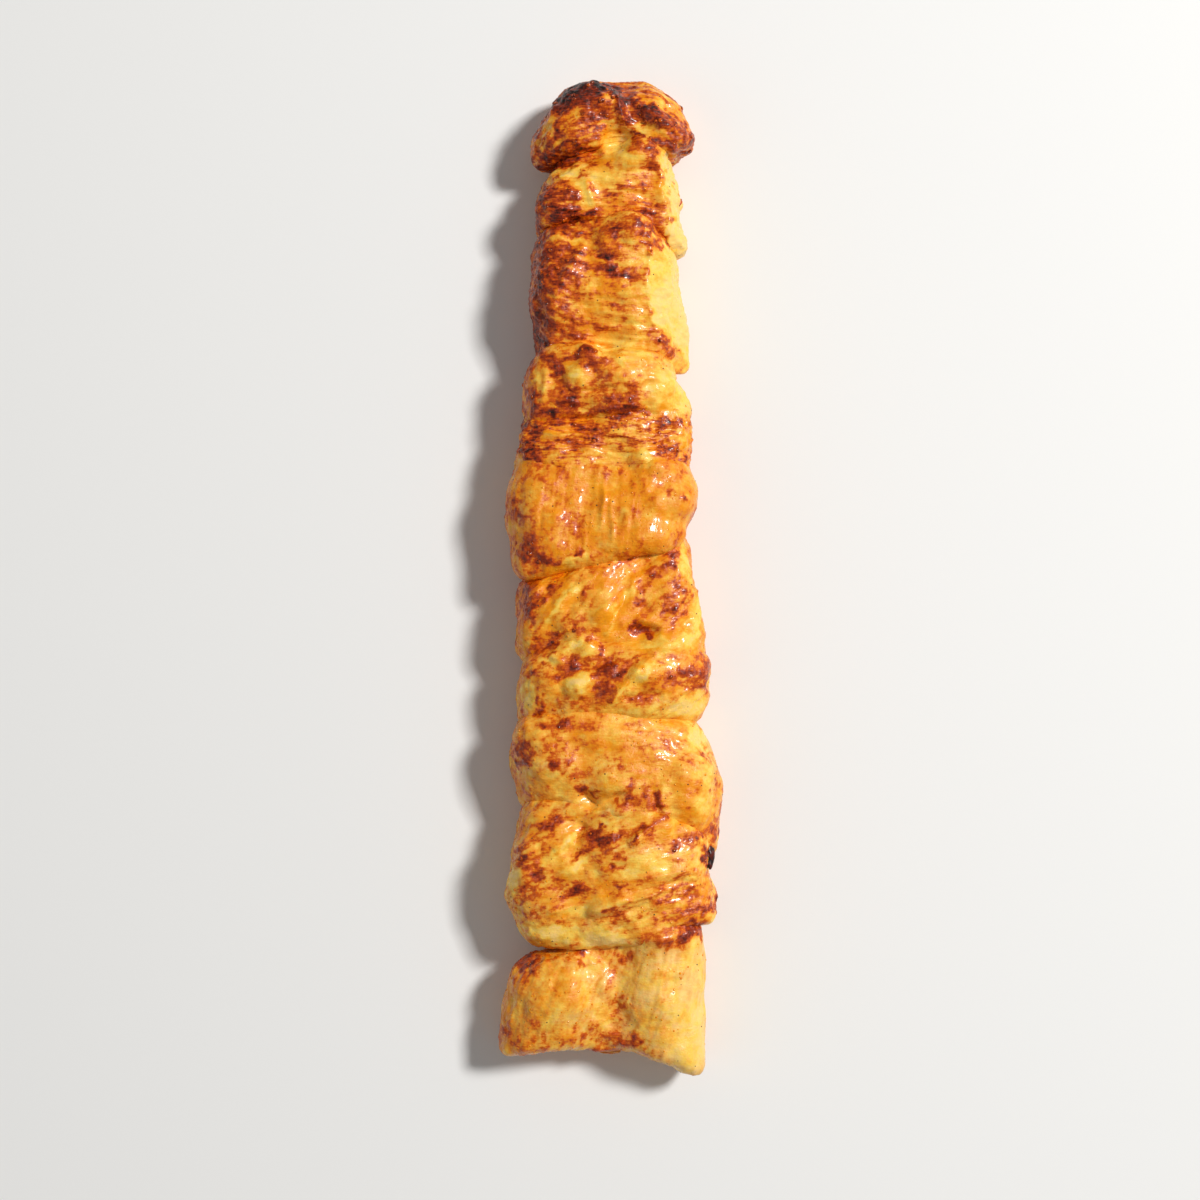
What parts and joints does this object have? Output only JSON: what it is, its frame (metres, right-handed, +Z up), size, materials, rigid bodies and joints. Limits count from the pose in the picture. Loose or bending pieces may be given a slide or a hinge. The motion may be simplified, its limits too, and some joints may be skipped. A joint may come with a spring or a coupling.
{
  "type": "grilled chicken kebab",
  "caption": "Row of grilled boneless chicken chunks pressed together end to end, as on a skewer, lying on its underside.",
  "frame": {"origin": "centre of the bounding box's underside, where the kebab lies on its plate", "axes": "+Y along the row of chunks, towards the folded end chunk; +X across the row; +Z up, out of the side that is shown"},
  "size_m": [0.0756, 0.3392, 0.0332],
  "materials": {
    "golden_meat": "moist grilled chicken, golden with orange and brown sear",
    "seared_meat": "moist grilled chicken, deeply browned",
    "pale_meat": "moist grilled chicken, pale and lightly browned"
  },
  "bodies": {
    "root": {"chunk_01_folded_end": "seared_meat", "chunk_02": "golden_meat", "chunk_03": "golden_meat", "chunk_04": "seared_meat", "chunk_05": "golden_meat", "chunk_06": "golden_meat", "chunk_07": "golden_meat", "chunk_08": "golden_meat", "chunk_09": "golden_meat", "chunk_10": "golden_meat", "chunk_11_saddle_end": "pale_meat"}
  },
  "joints": []
}
